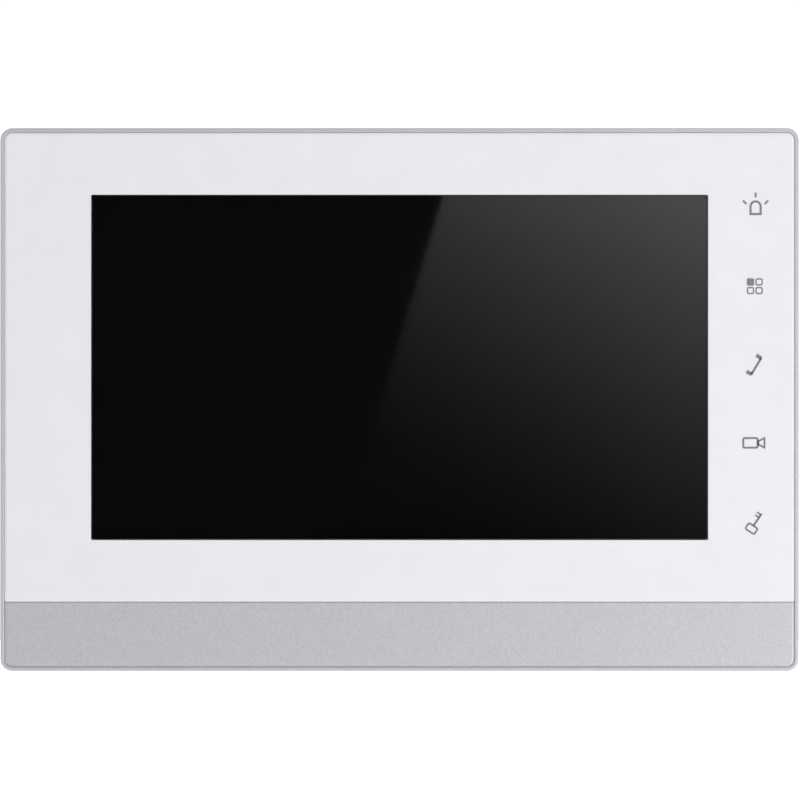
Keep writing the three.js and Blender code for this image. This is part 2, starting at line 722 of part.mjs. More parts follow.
// Reset button: a captive plunger in the lower wall, under a push switch.
const outsideLow = -HEIGHT / 2 + 0.3;
const insideLow = outsideLow + WALL;
const switchLow = RESET_TOP + RESET_TRAVEL + 0.1;
monitor.add(
  named('reset_button', join(
    upright(1.4, outsideLow + 0.2, RESET_TOP, RESET_X, CONTROL_Y, 16),
    upright(1.95, insideLow + 0.3, insideLow + 1.4, RESET_X, CONTROL_Y, 16),
  ), blackPlastic),
  named('reset_switch', controlBlock([RESET_X - 3, RESET_X + 3], 2, [switchLow, -54.4]), blackPlastic),
);

// Power switch: a sliding knob in the right wall, in front of its switch.
const outsideRight = WIDTH / 2 - 0.3;
const knobFoot = outsideRight - 6;
const switchHeights = [SWITCH_Z - 4.5, SWITCH_Z + 4.5 + SWITCH_TRAVEL];
monitor.add(
  named('power_switch_knob', join(
    controlBlock([knobFoot, outsideRight - 0.1], 1.1, [SWITCH_Z - 1.9, SWITCH_Z + 1.9]),
    controlBlock([knobFoot, knobFoot + 2], 2, [SWITCH_Z - 3.4, SWITCH_Z + 3.4]),
  ), blackPlastic),
  named('power_switch_body', controlBlock([knobFoot - 8, knobFoot - 0.3], 2.4, switchHeights), zincSteel),
);

function placeScrews(name, places, shape, seat, facesRoom) {
  places.forEach(([x, z], i) => {
    const mesh = named(`${name}_${i + 1}`, shape, zincSteel);
    mesh.position.set(x, seat, z);
    mesh.rotation.z = facesRoom ? Math.PI : 0;
    monitor.add(mesh);
  });
}

const speakerScrews = [-1, 1].map((side) => [SPEAKER.x, SPEAKER.z + side * SPEAKER.screws]);
const touchScrews = TOUCH_SCREWS.map((z) => [KEY_X, z]);
placeScrews('case_screw', CASE_SCREWS, screw(2.7, 1.8, 1, 10), -8.9, false);
placeScrews('board_screw', BOARD_SCREWS, screw(2.3, 1.5, 0.7, 4.5), BOARD_FRONT - 0.1, true);
placeScrews('speaker_screw', speakerScrews, screw(2.9, 1.3, 0.6, 2.2), -5.3, true);
placeScrews('touch_screw', touchScrews, screw(1.7, 1.1, 0.6, 3.4), TOUCH_BOARD_BACK + 0.1, false);

WALL_PADS.forEach(([x, z], i) => {
  const pad = named(`wall_pad_${i + 1}`, rod(4, COVER_BACK + 0.05, -0.1, 0, 0, 20), blackRubber);
  pad.position.set(x, 0, z);
  monitor.add(pad);
});

export default intercom;
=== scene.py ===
import math

import bmesh
import bpy
import numpy as np
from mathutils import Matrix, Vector


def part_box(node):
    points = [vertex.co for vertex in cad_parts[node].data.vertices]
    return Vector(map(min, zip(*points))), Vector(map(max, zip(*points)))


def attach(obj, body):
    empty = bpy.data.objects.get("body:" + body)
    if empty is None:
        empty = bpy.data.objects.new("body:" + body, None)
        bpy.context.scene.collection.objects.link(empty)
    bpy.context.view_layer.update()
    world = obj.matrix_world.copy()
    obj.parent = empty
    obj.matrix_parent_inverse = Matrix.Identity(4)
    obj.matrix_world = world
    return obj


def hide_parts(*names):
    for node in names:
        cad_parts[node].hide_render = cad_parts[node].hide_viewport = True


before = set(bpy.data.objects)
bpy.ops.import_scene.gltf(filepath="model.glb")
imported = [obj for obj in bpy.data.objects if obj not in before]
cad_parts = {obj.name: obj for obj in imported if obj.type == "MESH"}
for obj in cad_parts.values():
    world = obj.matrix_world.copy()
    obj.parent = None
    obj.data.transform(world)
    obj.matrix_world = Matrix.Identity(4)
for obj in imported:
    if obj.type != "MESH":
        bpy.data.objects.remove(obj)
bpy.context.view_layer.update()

# The monitor hangs on a wall bracket. X runs across the width, Z points up, the front
# faces -Y, and everything is in metres. MM turns a size in millimetres into metres.
MM = 0.001


# ---------------------------------------------------------------------- front frame
# The frame is one injection moulding in ABS, sprayed with satin silver paint. Its front
# edge shows as a thin rim all round, and its skirt meets the rear cover behind.

def linear(hex_colour):
    """Turns an sRGB hex colour into linear RGBA."""
    srgb = np.array([int(hex_colour[i:i + 2], 16) for i in (1, 3, 5)]) / 255
    curve = np.where(srgb <= 0.04045, srgb / 12.92, ((srgb + 0.055) / 1.055) ** 2.4)
    return (*curve.tolist(), 1.0)


def new_material(name, **values):
    """A material with one Principled shader, whose own sockets take the even values."""
    material = bpy.data.materials.new(name)
    material.use_nodes = True
    shader = material.node_tree.nodes["Principled BSDF"]
    for socket, value in values.items():
        shader.inputs[socket.replace("_", " ")].default_value = value
    return material


def add_node(material, kind, inputs=(), **settings):
    """Adds one node. Settings go on the node itself. Each input is a socket to link or a value."""
    node = material.node_tree.nodes.new(kind)
    for name, value in settings.items():
        setattr(node, name, value)
    for name, value in dict(inputs).items():
        if isinstance(value, bpy.types.NodeSocket):
            material.node_tree.links.new(value, node.inputs[name])
        else:
            node.inputs[name].default_value = value
    return node


def drive(material, socket, source):
    """Links a node's output to one of the Principled shader's sockets."""
    shader = material.node_tree.nodes["Principled BSDF"]
    material.node_tree.links.new(source, shader.inputs[socket])


def tint(material, pattern, low, high, dark, light):
    """Runs the base colour from one hex colour to another as a pattern goes from low to high."""
    span = add_node(material, "ShaderNodeMapRange", {
        "Value": pattern, "From Min": low, "From Max": high,
    })
    mix = add_node(material, "ShaderNodeMix", {
        0: span.outputs[0], 6: linear(dark), 7: linear(light),
    }, data_type="RGBA")
    drive(material, "Base Color", mix.outputs[2])


def vary_roughness(material, pattern, low, high):
    """Runs the roughness from low to high as a pattern goes from 0.3 to 0.7."""
    span = add_node(material, "ShaderNodeMapRange", {
        "Value": pattern, "From Min": 0.3, "From Max": 0.7, "To Min": low, "To Max": high,
    })
    drive(material, "Roughness", span.outputs[0])


def raise_grain(material, pattern, depth_mm, strength=1.0):
    """Bumps the surface by a pattern, with the relief's height in millimetres."""
    bump = add_node(material, "ShaderNodeBump", {
        "Height": pattern, "Distance": depth_mm * MM, "Strength": strength,
    })
    drive(material, "Normal", bump.outputs[0])


def mottle(material, size_mm, detail=2.0, stretch=(1, 1, 1)):
    """A cloudy pattern on Object coordinates, whose blobs are about size_mm across."""
    place = add_node(material, "ShaderNodeTexCoord").outputs["Object"]
    mapped = add_node(material, "ShaderNodeMapping", {"Vector": place, "Scale": stretch})
    return add_node(material, "ShaderNodeTexNoise", {
        "Vector": mapped.outputs[0], "Scale": 1 / (size_mm * MM), "Detail": detail,
    }).outputs[0]


def silver_paint():
    """Satin silver paint on ABS: metal flakes in a clear binder, which sparkle finely."""
    material = new_material("satin silver paint", Metallic=0.45, Roughness=0.42)
    flakes = mottle(material, 0.35, 3)
    tint(material, flakes, 0.3, 0.7, "#c4c4c9", "#d2d2d7")
    raise_grain(material, mottle(material, 0.9), 0.004)
    return material


def dress(obj, material, body, stands_for=()):
    """Gives a piece its material, the body it moves with, and the CAD nodes it stands for."""
    obj.data.materials.clear()
    obj.data.materials.append(material)
    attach(obj, body)
    if stands_for:
        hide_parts(*stands_for)
    return obj


def softened(node, name, edge_mm, material, body, segments=2):
    """A copy of a CAD solid whose flat faces are made whole and whose edges are rounded."""
    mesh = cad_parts[node].data.copy()
    work = bmesh.new()
    work.from_mesh(mesh)
    bmesh.ops.remove_doubles(work, verts=work.verts, dist=0.002 * MM)
    bmesh.ops.dissolve_limit(work, angle_limit=math.radians(0.6), verts=work.verts, edges=work.edges)
    work.to_mesh(mesh)
    work.free()
    mesh.shade_smooth()
    mesh.set_sharp_from_angle(angle=math.radians(30))
    obj = bpy.data.objects.new(name, mesh)
    bpy.context.scene.collection.objects.link(obj)
    bevel = obj.modifiers.new("edges", "BEVEL")
    bevel.width = edge_mm * MM
    bevel.segments = segments
    bevel.limit_method = "ANGLE"
    bevel.angle_limit = math.radians(30)
    bevel.use_clamp_overlap = False
    bevel.loop_slide = False
    bevel.harden_normals = True
    return dress(obj, material, body, [node])


silver = silver_paint()
softened("front_frame", "silver_frame", 0.2, silver, "monitor")


# ---------------------------------------------------------------------- front panel
# A white panel with a hard gloss coat, moulded in ABS. Its opening for the screen has a
# polished edge, and a low step round its outer edge narrows the shadow line.

FLAT_MARGIN = 0.05


def rounded_loop(width, height, high_radius, low_radius, centre_z, steps=10):
    """Points round a rectangle in X and Z: each corner is a quarter circle whose centre lies
    one radius in from both sides. The upper corners and the lower ones have their own radius."""
    turn = np.linspace(0, math.pi / 2, steps + 1)
    corners = [
        (width / 2 - high_radius, height / 2 - high_radius, high_radius, 0),
        (high_radius - width / 2, height / 2 - high_radius, high_radius, 1),
        (low_radius - width / 2, low_radius - height / 2, low_radius, 2),
        (width / 2 - low_radius, low_radius - height / 2, low_radius, 3),
    ]
    parts = [
        np.stack([
            x + radius * np.cos(turn + quarter * math.pi / 2),
            z + radius * np.sin(turn + quarter * math.pi / 2),
        ], axis=1)
        for x, z, radius, quarter in corners
    ]
    return np.concatenate(parts) + (0, centre_z)


def make_piece(name, points, faces, sharp=32):
    """Puts points in millimetres and faces into a new object, with its faces turned outwards."""
    mesh = bpy.data.meshes.new(name)
    mesh.from_pydata((np.asarray(points, float) * MM).tolist(), [], faces)
    work = bmesh.new()
    work.from_mesh(mesh)
    bmesh.ops.recalc_face_normals(work, faces=work.faces)
    work.to_mesh(mesh)
    work.free()
    mesh.shade_smooth()
    mesh.set_sharp_from_angle(angle=math.radians(sharp))
    obj = bpy.data.objects.new(name, mesh)
    bpy.context.scene.collection.objects.link(obj)
    return obj


def grid_faces(rows, columns, close_rows):
    """Four-sided faces over a grid of points whose columns close on themselves, and whose
    rows may too."""
    row = np.arange(rows if close_rows else rows - 1)[:, None]
    column = np.arange(columns)[None, :]
    below = (row + 1) % rows
    beside = (column + 1) % columns
    corners = [row * columns + column, row * columns + beside,
               below * columns + beside, below * columns + column]
    return np.stack(np.broadcast_arrays(*corners), axis=-1).reshape(-1, 4).tolist()


def stacked_loops(name, loops, ring=False):
    """A surface on a grid. One parameter runs round a loop in X and Z, and the other from one
    loop to the next in depth. A ring closes on its first loop, and a plate has end faces."""
    points = np.concatenate([
        np.insert(loop, 1, depth, axis=1) for loop, depth in loops
    ])
    count = len(loops[0][0])
    faces = grid_faces(len(loops), count, ring)
    if not ring:
        last = len(points) - count
        faces += [list(range(count)), list(range(last, last + count))]
    return make_piece(name, points, faces)


ROUND_STEPS = 4


def round_over(radius, depth):
    """Insets and depths of a quarter round from the face at a depth over to the side. A first
    step lies on the face itself, a little further in, and keeps the face's shading flat."""
    turn = np.linspace(0, math.pi / 2, ROUND_STEPS + 1)
    insets = radius * (1 - np.sin(turn))
    depths = depth + radius * (1 - np.cos(turn))
    return [(radius + FLAT_MARGIN, depth), *zip(insets.tolist(), depths.tolist())]


def box_mm(node):
    """A CAD node's lowest and highest corner in millimetres."""
    low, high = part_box(node)
    return np.array(low) / MM, np.array(high) / MM


def inset_loop(low, high, inset, high_radius, low_radius):
    """A rounded loop round a CAD node's front, drawn in by an inset."""
    width, height = (high - low)[[0, 2]] - 2 * inset
    return rounded_loop(
        width, height, max(high_radius - inset, 0.05), max(low_radius - inset, 0.05),
        (low[2] + high[2]) / 2,
    )


def white_coat():
    """White ABS under a hard gloss coat: even, with a slight orange peel from the spray."""
    material = new_material("gloss-coated white ABS", Roughness=0.36, IOR=1.49)
    tint(material, mottle(material, 9, 3), 0.35, 0.65, "#ececf1", "#eeeef3")
    vary_roughness(material, mottle(material, 4), 0.34, 0.38)
    raise_grain(material, mottle(material, 1.6), 0.0015)
    return material


panel_low, panel_high = box_mm("front_panel")
window_low, window_high = box_mm("screen_window")
SCREEN_OPENING = (154.5, 86.4)
OPENING_CORNER = 0.3
FRONT_CORNER = 1.6
STEP_DEPTH = 0.2
LIP, LOW_LIP, TOP_LIP = 0.33, 0.22, 0.29
opening_z = (window_low[2] + window_high[2]) / 2


def opening_loop(grow):
    """The screen opening's outline, grown on all sides."""
    width, height = SCREEN_OPENING
    corner = OPENING_CORNER + max(grow, 0)
    return rounded_loop(width + 2 * grow, height + 2 * grow, corner, corner, opening_z)


front_y, back_y = panel_low[1], panel_high[1]
lip_low = panel_low - (LIP, 0, LOW_LIP)
lip_high = panel_high + (LIP, 0, TOP_LIP)
outer = [
    (inset_loop(panel_low, panel_high, inset, FRONT_CORNER, 0.3), depth)
    for inset, depth in round_over(0.14, front_y)
]
outer += [
    (inset_loop(panel_low, panel_high, 0, FRONT_CORNER, 0.3), front_y + STEP_DEPTH),
    (inset_loop(lip_low, lip_high, 0, FRONT_CORNER + LIP, 0.3), front_y + STEP_DEPTH),
    (inset_loop(lip_low, lip_high, 0, FRONT_CORNER + LIP, 0.3), back_y),
]
inner = [
    (opening_loop(3.1), back_y),
    (opening_loop(3.1), front_y + 1.05),
    (opening_loop(0.05), front_y + 1.05),
    (opening_loop(0.05), front_y + 0.13),
    (opening_loop(0.09), front_y + 0.05),
    (opening_loop(0.17), front_y),
    (opening_loop(0.17 + FLAT_MARGIN), front_y),
]
white_panel = stacked_loops("white_panel", outer + inner, ring=True)
dress(white_panel, white_coat(), "monitor", ["front_panel"])


# ------------------------------------------------------------------------ key marks
# The five touch keys have no moving caps. Each is a mark printed on the panel in grey
# ink by a screen, about 0.03 mm thick, over a sensing pad behind the panel.

INK = 0.03
ink_front = front_y - INK
ink_back = front_y - 0.002


def ink():
    """Grey screen ink: matt, with the faint mottle of the mesh it was pressed through."""
    material = new_material("grey screen ink", Roughness=0.6, IOR=1.5)
    tint(material, mottle(material, 0.25), 0.35, 0.65, "#77787d", "#84858a")
    raise_grain(material, mottle(material, 0.12), 0.004)
    return material


def placed(points, centre, angle):
    """Turns points about the origin and moves them to a centre, in X and Z."""
    c, s = math.cos(angle), math.sin(angle)
    return np.asarray(points, float) @ np.array([[c, s], [-s, c]]) + centre


def stroke(path, width, closed=False):
    """A line of even width along a path: at each point the two sides lie half a width away
    along the mitre, the mean of the neighbouring segments' normals."""
    path = np.asarray(path, float)
    ahead = np.roll(path, -1, axis=0) - path
    behind = path - np.roll(path, 1, axis=0)
    if not closed:
        ahead[-1] = behind[-1]
        behind[0] = ahead[0]
    ahead /= np.linalg.norm(ahead, axis=1, keepdims=True)
    behind /= np.linalg.norm(behind, axis=1, keepdims=True)
    mitre = ahead + behind
    mitre /= np.linalg.norm(mitre, axis=1, keepdims=True)
    normal = np.stack([-mitre[:, 1], mitre[:, 0]], axis=1)
    reach = width / 2 / np.clip((mitre * ahead).sum(axis=1, keepdims=True), 0.4, 1)
    return path + normal * reach, path - normal * reach


def stroke_mesh(path, width, closed=False):
    """Points and faces of a stroke with the ink's thickness: a four-cornered section carried
    along the path."""
    left, right = stroke(path, width, closed)
    section = [(left, ink_front), (right, ink_front), (right, ink_back), (left, ink_back)]
    points = np.concatenate([np.insert(side, 1, depth, axis=1) for side, depth in section])
    count = len(path)
    faces = []
    for row in range(4):
        below = (row + 1) % 4
        for i in range(count if closed else count - 1):
            j = (i + 1) % count
            faces.append([row * count + i, row * count + j, below * count + j, below * count + i])
    if not closed:
        faces.append([row * count for row in range(4)])
        faces.append([row * count + count - 1 for row in range(4)])
    return points, faces


def slab(outline, front, back):
    """Points and faces of a filled outline in X and Z, carried straight from front to back."""
    outline = np.asarray(outline, float)
    count = len(outline)
    points = np.concatenate([np.insert(outline, 1, depth, axis=1) for depth in (front, back)])
    faces = [[i, (i + 1) % count, count + (i + 1) % count, count + i] for i in range(count)]
    return points, faces + [list(range(count)), list(range(count, 2 * count))]


def arc(centre, radius, start, stop):
    """Points on a circle between two angles in degrees, in ten steps."""
    turn = np.radians(np.linspace(start, stop, 11))
    return np.stack([centre[0] + radius * np.cos(turn), centre[1] + radius * np.sin(turn)], axis=1)


def joined(shapes):
    """The points and faces of several shapes as one list of each."""
    points, faces, start = [], [], 0
    for shape_points, shape_faces in shapes:
        points.append(shape_points)
        faces += [[start + i for i in face] for face in shape_faces]
        start += len(shape_points)
    return np.concatenate(points), faces


def print_mark(name, shapes):
    """Prints strokes and slabs of ink as one mark."""
    return dress(make_piece(name, *joined(shapes)), grey_ink, "monitor")


grey_ink = ink()


def key_centre(key):
    """Where a key's sensing pad sits, in X and Z."""
    low, high = box_mm(f"touch_pad_{key}")
    return ((low + high) / 2)[[0, 2]]


# The alarm lamp: a dome on a flat foot, with three rays.
x, z = key_centre("sos") + (0.2, 0)
half, foot, dome = 1.27, z - 2.1, z - 0.2
lamp = np.concatenate([[(x - half, foot)], arc((x, dome), half, 180, 0), [(x + half, foot)]])
rays = [[(x, z + 2.05), (x, z + 3.3)], [(x - 2.3, z + 0.4), (x - 3.15, z + 1.3)],
        [(x + 2.3, z + 0.4), (x + 3.15, z + 1.3)]]
print_mark("alarm_key_mark", [stroke_mesh(lamp, 0.55, closed=True), *(stroke_mesh(ray, 0.5) for ray in rays)])

# The menu: four small squares with round corners, the first one filled.
x, z = key_centre("menu")
TILE, TILE_GAP, TILE_CORNER = 1.5, 0.66, 0.34
tiles = []
for column in (-1, 1):
    for row in (-1, 1):
        centre = np.array([x + column * (TILE + TILE_GAP) / 2, z + row * (TILE + TILE_GAP) / 2])
        outline = rounded_loop(TILE, TILE, TILE_CORNER, TILE_CORNER, 0, 4) + centre
        if column < 0 < row:
            full = rounded_loop(TILE + 0.36, TILE + 0.36, TILE_CORNER, TILE_CORNER, 0, 4) + centre
            tiles.append(slab(full, ink_front, ink_back))
        else:
            tiles.append(stroke_mesh(outline, 0.36, closed=True))
print_mark("menu_key_mark", tiles)

# The call key: a handset, with an ear block at each end of a slim handle.
x, z = key_centre("call")
LEAN = math.radians(59)
handset = (x - 0.2, z)
handle = placed([(-2.3, -0.66), (2.3, -0.66)], handset, LEAN)
ears = []
for end in (-1, 1):
    ear = [(end * 1.9, 0.76), (end * 2.85, 0.76), (end * 2.85, -0.5), (end * 2.5, -0.9), (end * 1.9, -0.9)]
    ears.append(slab(placed(ear, handset, LEAN), ink_front, ink_back))
print_mark("call_key_mark", [stroke_mesh(handle, 0.58), *ears])

# The camera: a body with round corners and an open lens hood on its right.
x, z = key_centre("monitor")
body_loop = rounded_loop(3.6, 2.4, 0.35, 0.35, 0, 4) + (x - 1.1, z - 0.04)
hood = [(x + 0.9, z + 0.4), (x + 2.42, z + 1.18), (x + 2.42, z - 1.22), (x + 0.9, z - 0.44)]
print_mark("camera_key_mark", [
    stroke_mesh(body_loop, 0.5, closed=True), stroke_mesh(hood, 0.46, closed=True),
])

# The unlock key: a bow like a tag, a shaft and two teeth, leaning to the right.
x, z = key_centre("unlock")
LEAN_KEY = math.radians(56)
bow_centre = (x - 0.82, z - 0.12)
bow = placed(rounded_loop(1.72, 2.68, 0.4, 0.4, 0, 4), bow_centre, LEAN_KEY)
shaft = placed([(0.9, 0), (4.5, 0)], bow_centre, LEAN_KEY)
teeth = [placed([(at, 0), (at, 1.15)], bow_centre, LEAN_KEY) for at in (3.35, 4.2)]
print_mark("unlock_key_mark", [stroke_mesh(bow, 0.47, closed=True), stroke_mesh(shaft, 0.54),
                               *(stroke_mesh(tooth, 0.42) for tooth in teeth)])


# --------------------------------------------------------------------- screen window
# A clear acrylic window with a hard coat, machined to a top-hat section: the front fills
# the panel's opening and the flange sits behind the panel's edge.

def hard_coated_acrylic():
    """Clear cast acrylic with a hard coat: a bright, sharp reflection and no tint."""
    material = new_material("clear hard-coated acrylic", Roughness=0.02, IOR=1.49, Transmission_Weight=1.0)
    vary_roughness(material, mottle(material, 30), 0.018, 0.024)
    drive(material, "Base Color", add_node(material, "ShaderNodeMix", {
        0: mottle(material, 40), 6: linear("#fbfbfb"), 7: linear("#ffffff"),
    }, data_type="RGBA").outputs[2])
    return material


BOSS_FRONT = window_low[1]
FLANGE_FRONT = panel_low[1] + 1.15
boss = [(opening_loop(-0.15 - inset), depth) for inset, depth in round_over(0.1, BOSS_FRONT)]
flange = [
    (opening_loop(-0.15), FLANGE_FRONT),
    (opening_loop(2.95), FLANGE_FRONT),
    (opening_loop(2.95), window_high[1]),
]
clear_window = stacked_loops("clear_window", boss + flange)
dress(clear_window, hard_coated_acrylic(), "monitor", ["screen_window"])


# --------------------------------------------------------------------- screen module
# A liquid crystal panel in a stamped steel can, with its backlight behind. It is off, so
# the polariser looks black.

def polariser():
    """A black polariser with an anti-glare face: almost no light comes back from it."""
    material = new_material("anti-glare polariser film", IOR=1.45, Specular_IOR_Level=0.05)
    tint(material, mottle(material, 60), 0.3, 0.7, "#050506", "#060607")
    vary_roughness(material, mottle(material, 25), 0.4, 0.45)
    return material


def plated_steel(name, dark, light, grain_mm, roughness):
    """Thin steel sheet, tinned or bright zinc plated: rolling marks and a soft metallic shine."""
    material = new_material(name, Metallic=1.0)
    streaks = mottle(material, grain_mm, 3, (1, 1, 0.12))
    tint(material, streaks, 0.3, 0.7, dark, light)
    vary_roughness(material, streaks, roughness - 0.06, roughness + 0.06)
    raise_grain(material, streaks, 0.002)
    return material


def moulding(name, dark, light, roughness, grain_mm, depth_mm):
    """A thermoplastic moulding with the fine spark-eroded texture of its mould."""
    material = new_material(name, IOR=1.5)
    grain = mottle(material, grain_mm, 3)
    tint(material, grain, 0.3, 0.7, dark, light)
    vary_roughness(material, mottle(material, grain_mm * 6), roughness - 0.04, roughness + 0.04)
    raise_grain(material, grain, depth_mm)
    return material


def paint_node(node, material):
    """Gives a CAD node, which keeps its own shape, a finished material."""
    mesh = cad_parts[node].data
    mesh.materials.clear()
    mesh.materials.append(material)


tinplate = plated_steel("tinned steel sheet", "#9fa2a4", "#c4c7c9", 1.2, 0.36)
natural_nylon = moulding("natural nylon", "#e6e1d3", "#efebdf", 0.5, 0.5, 0.006)
black_foam = moulding("closed-cell foam", "#1c1d1f", "#2c2d30", 0.9, 0.3, 0.06)
paint_node("screen_glass", polariser())
paint_node("screen_can", tinplate)
paint_node("backlight", natural_nylon)
paint_node("screen_gasket", black_foam)


# ------------------------------------------------------------------------- trim band
# A strip of aluminium, blasted with fine glass beads and anodised in natural silver. It
# lies in the frame below the panel, stuck down, with a shadow line all round.

def anodised_aluminium():
    """Bead-blasted, anodised aluminium: an even satin with a fine sparkle. The beads leave
    dents of 0.1 mm, drawn here at 0.4 mm so that the sparkle shows."""
    material = new_material("bead-blasted anodised aluminium", Metallic=0.55)
    dents = mottle(material, 0.4, 4)
    tint(material, dents, 0.3, 0.7, "#c2c1c6", "#d4d3d8")
    vary_roughness(material, dents, 0.4, 0.5)
    raise_grain(material, dents, 0.006)
    return material


band_low, band_high = box_mm("trim_band")
band = [
    (inset_loop(band_low, band_high, inset, 0.3, FRONT_CORNER), depth)
    for inset, depth in round_over(0.2, band_low[1])
]
foot_low = band_low - (LIP, 0, LIP)
foot_high = band_high + (LIP, 0, 0.1)
band += [
    (inset_loop(band_low, band_high, 0, 0.3, FRONT_CORNER), band_low[1] + STEP_DEPTH),
    (inset_loop(foot_low, foot_high, 0, 0.3, FRONT_CORNER + LIP), band_low[1] + STEP_DEPTH),
    (inset_loop(foot_low, foot_high, 0, 0.3, FRONT_CORNER + LIP), band_high[1]),
]
anodised = anodised_aluminium()
dress(stacked_loops("aluminium_band", band), anodised, "monitor", ["trim_band"])

tape = moulding("double-sided foam tape", "#d9d6cf", "#e4e1da", 0.8, 0.6, 0.02)
paint_node("panel_tape", tape)
paint_node("band_tape", tape)


# ------------------------------------------------------------------------ rear cover
# The rear cover is moulded in white-grey ABS with a spark-eroded face. It has the
# recess for the bracket, the hook slots, the cable window, vents and screw wells.

textured_abs = moulding("spark-eroded ABS", "#d6d7da", "#dfe0e3", 0.52, 0.35, 0.02)
softened("rear_cover", "abs_rear_cover", 0.15, textured_abs, "monitor")


# --------------------------------------------------------------------- wall bracket
# One blank of galvanised steel, 1.2 mm thick, punched and bent: four hooks turned up
# from it, raised seats round the screw slots, and a window for the cables.

def galvanised():
    """Hot-dip galvanised steel: small spangles of zinc crystal 3 mm across, each a slightly
    different grey and gloss, which catch the light one by one."""
    material = new_material("galvanised steel", Metallic=1.0)
    place = add_node(material, "ShaderNodeTexCoord").outputs["Object"]
    spangle = add_node(material, "ShaderNodeTexVoronoi", {
        "Vector": place, "Scale": 1 / (3 * MM), "Randomness": 1.0,
    })
    tone = add_node(material, "ShaderNodeSeparateColor", {0: spangle.outputs["Color"]}).outputs[0]
    tint(material, tone, 0, 1, "#a9acaf", "#b9bcbf")
    shine = add_node(material, "ShaderNodeMapRange", {"Value": tone, "To Min": 0.36, "To Max": 0.46})
    drive(material, "Roughness", shine.outputs[0])
    raise_grain(material, mottle(material, 0.8, 3), 0.004)
    return material


zinc = galvanised()
softened("wall_bracket", "steel_wall_bracket", 0.1, zinc, "bracket")


# ----------------------------------------------------------------- boards and parts
# Glass-fibre boards under green solder mask, with moulded chips, a tinned shield and
# the sockets that the cable window shows from behind.

def solder_mask():
    """Green solder mask: a glossy lacquer over copper. Squarish regions some 9 mm across hold
    tracks 1.2 mm apart that run along X or Z, and show as paler lines with low ridges."""
    material = new_material("green solder mask", Roughness=0.3, IOR=1.55)
    place = add_node(material, "ShaderNodeTexCoord").outputs["Object"]
    region = add_node(material, "ShaderNodeTexVoronoi", {
        "Vector": place, "Scale": 1 / (9 * MM), "Randomness": 0.7,
    }, distance="CHEBYCHEV")
    lot = add_node(material, "ShaderNodeSeparateColor", {0: region.outputs["Color"]})
    lines = [
        add_node(material, "ShaderNodeTexWave", {
            "Vector": place, "Scale": math.pi / 10 / (1.2 * MM),
        }, bands_direction=direction).outputs[1]
        for direction in ("X", "Z")
    ]
    along_z = add_node(material, "ShaderNodeMath", {
        0: lot.outputs[0], 1: 0.5,
    }, operation="GREATER_THAN").outputs[0]
    crossed = add_node(material, "ShaderNodeMix", {0: along_z, 2: lines[0], 3: lines[1]}).outputs[0]
    ridge = add_node(material, "ShaderNodeMapRange", {
        "Value": crossed, "From Min": 0.55, "From Max": 0.7,
    }).outputs[0]
    routed = add_node(material, "ShaderNodeMath", {
        0: lot.outputs[1], 1: 0.35,
    }, operation="GREATER_THAN").outputs[0]
    copper = add_node(material, "ShaderNodeMath", {0: ridge, 1: routed}, operation="MULTIPLY").outputs[0]
    tint(material, copper, 0, 1, "#17502f", "#236140")
    raise_grain(material, copper, 0.02, 0.5)
    return material


board_mask = solder_mask()
chip_resin = moulding("moulded epoxy resin", "#141517", "#1e1f22", 0.55, 0.2, 0.006)
amber_film = moulding("polyimide film", "#a9691f", "#c07c2c", 0.35, 2.0, 0.002)
soft_ferrite = moulding("sintered ferrite", "#2f3033", "#3d3e41", 0.6, 0.4, 0.01)
drawn_aluminium = plated_steel("drawn aluminium", "#b9bbbe", "#d2d4d6", 0.8, 0.3)
paint_node("main_board", board_mask)
paint_node("touch_board", board_mask)
for chip in ("touch_controller", "video_processor"):
    paint_node(chip, chip_resin)
for cable in ("screen_flat_cable", "touch_flat_cable"):
    paint_node(cable, amber_film)
for key in ("sos", "menu", "call", "monitor", "unlock"):
    paint_node(f"touch_pad_{key}", black_foam)
paint_node("power_inductor", soft_ferrite)
paint_node("storage_capacitor", drawn_aluminium)
paint_node("shield_can", tinplate)

SOCKETS = {"door_1_socket": 4, "door_2_socket": 4, "extension_socket": 4, "power_socket": 2}
PIN_PITCH = 2.5
PIN = 0.64
tinned_brass = plated_steel("tinned brass", "#b5b5b0", "#d6d6d2", 0.3, 0.25)


def pin_row(name, x, z, foot, tip, pins):
    """Square pins in a row. Each is a square section carried from the board to its tip, where
    it draws in to a point."""
    square = np.array([(-1, -1), (1, -1), (1, 1), (-1, 1)]) * PIN / 2
    stations = [(1.0, foot), (1.0, tip - 0.5), (0.45, tip)]
    points, faces = [], []
    for i in range(pins):
        centre = np.array([x + (i - (pins - 1) / 2) * PIN_PITCH, z])
        start = len(points) * 4
        for size, depth in stations:
            points.append(np.insert(square * size + centre, 1, depth, axis=1))
        faces += [[start + j for j in face] for face in grid_faces(3, 4, False)]
        faces += [[start + j for j in range(4)], [start + 8 + j for j in range(4)]]
    return make_piece(name, np.concatenate(points), faces)


for node, pins in SOCKETS.items():
    softened(node, f"nylon_{node}", 0.12, natural_nylon, "monitor")
    low, high = box_mm(node)
    middle = (low + high) / 2
    row = pin_row(f"{node}_pins", middle[0], middle[2], low[1] + 0.95, high[1] - 1.1, pins)
    dress(row, tinned_brass, "monitor")


# ------------------------------------------------------------- loudspeaker and sound
# A 34 mm loudspeaker behind the cover's slots: a pressed steel basket, a paper cone, a
# ferrite magnet and a foam ring. The microphone sits in a rubber boot.

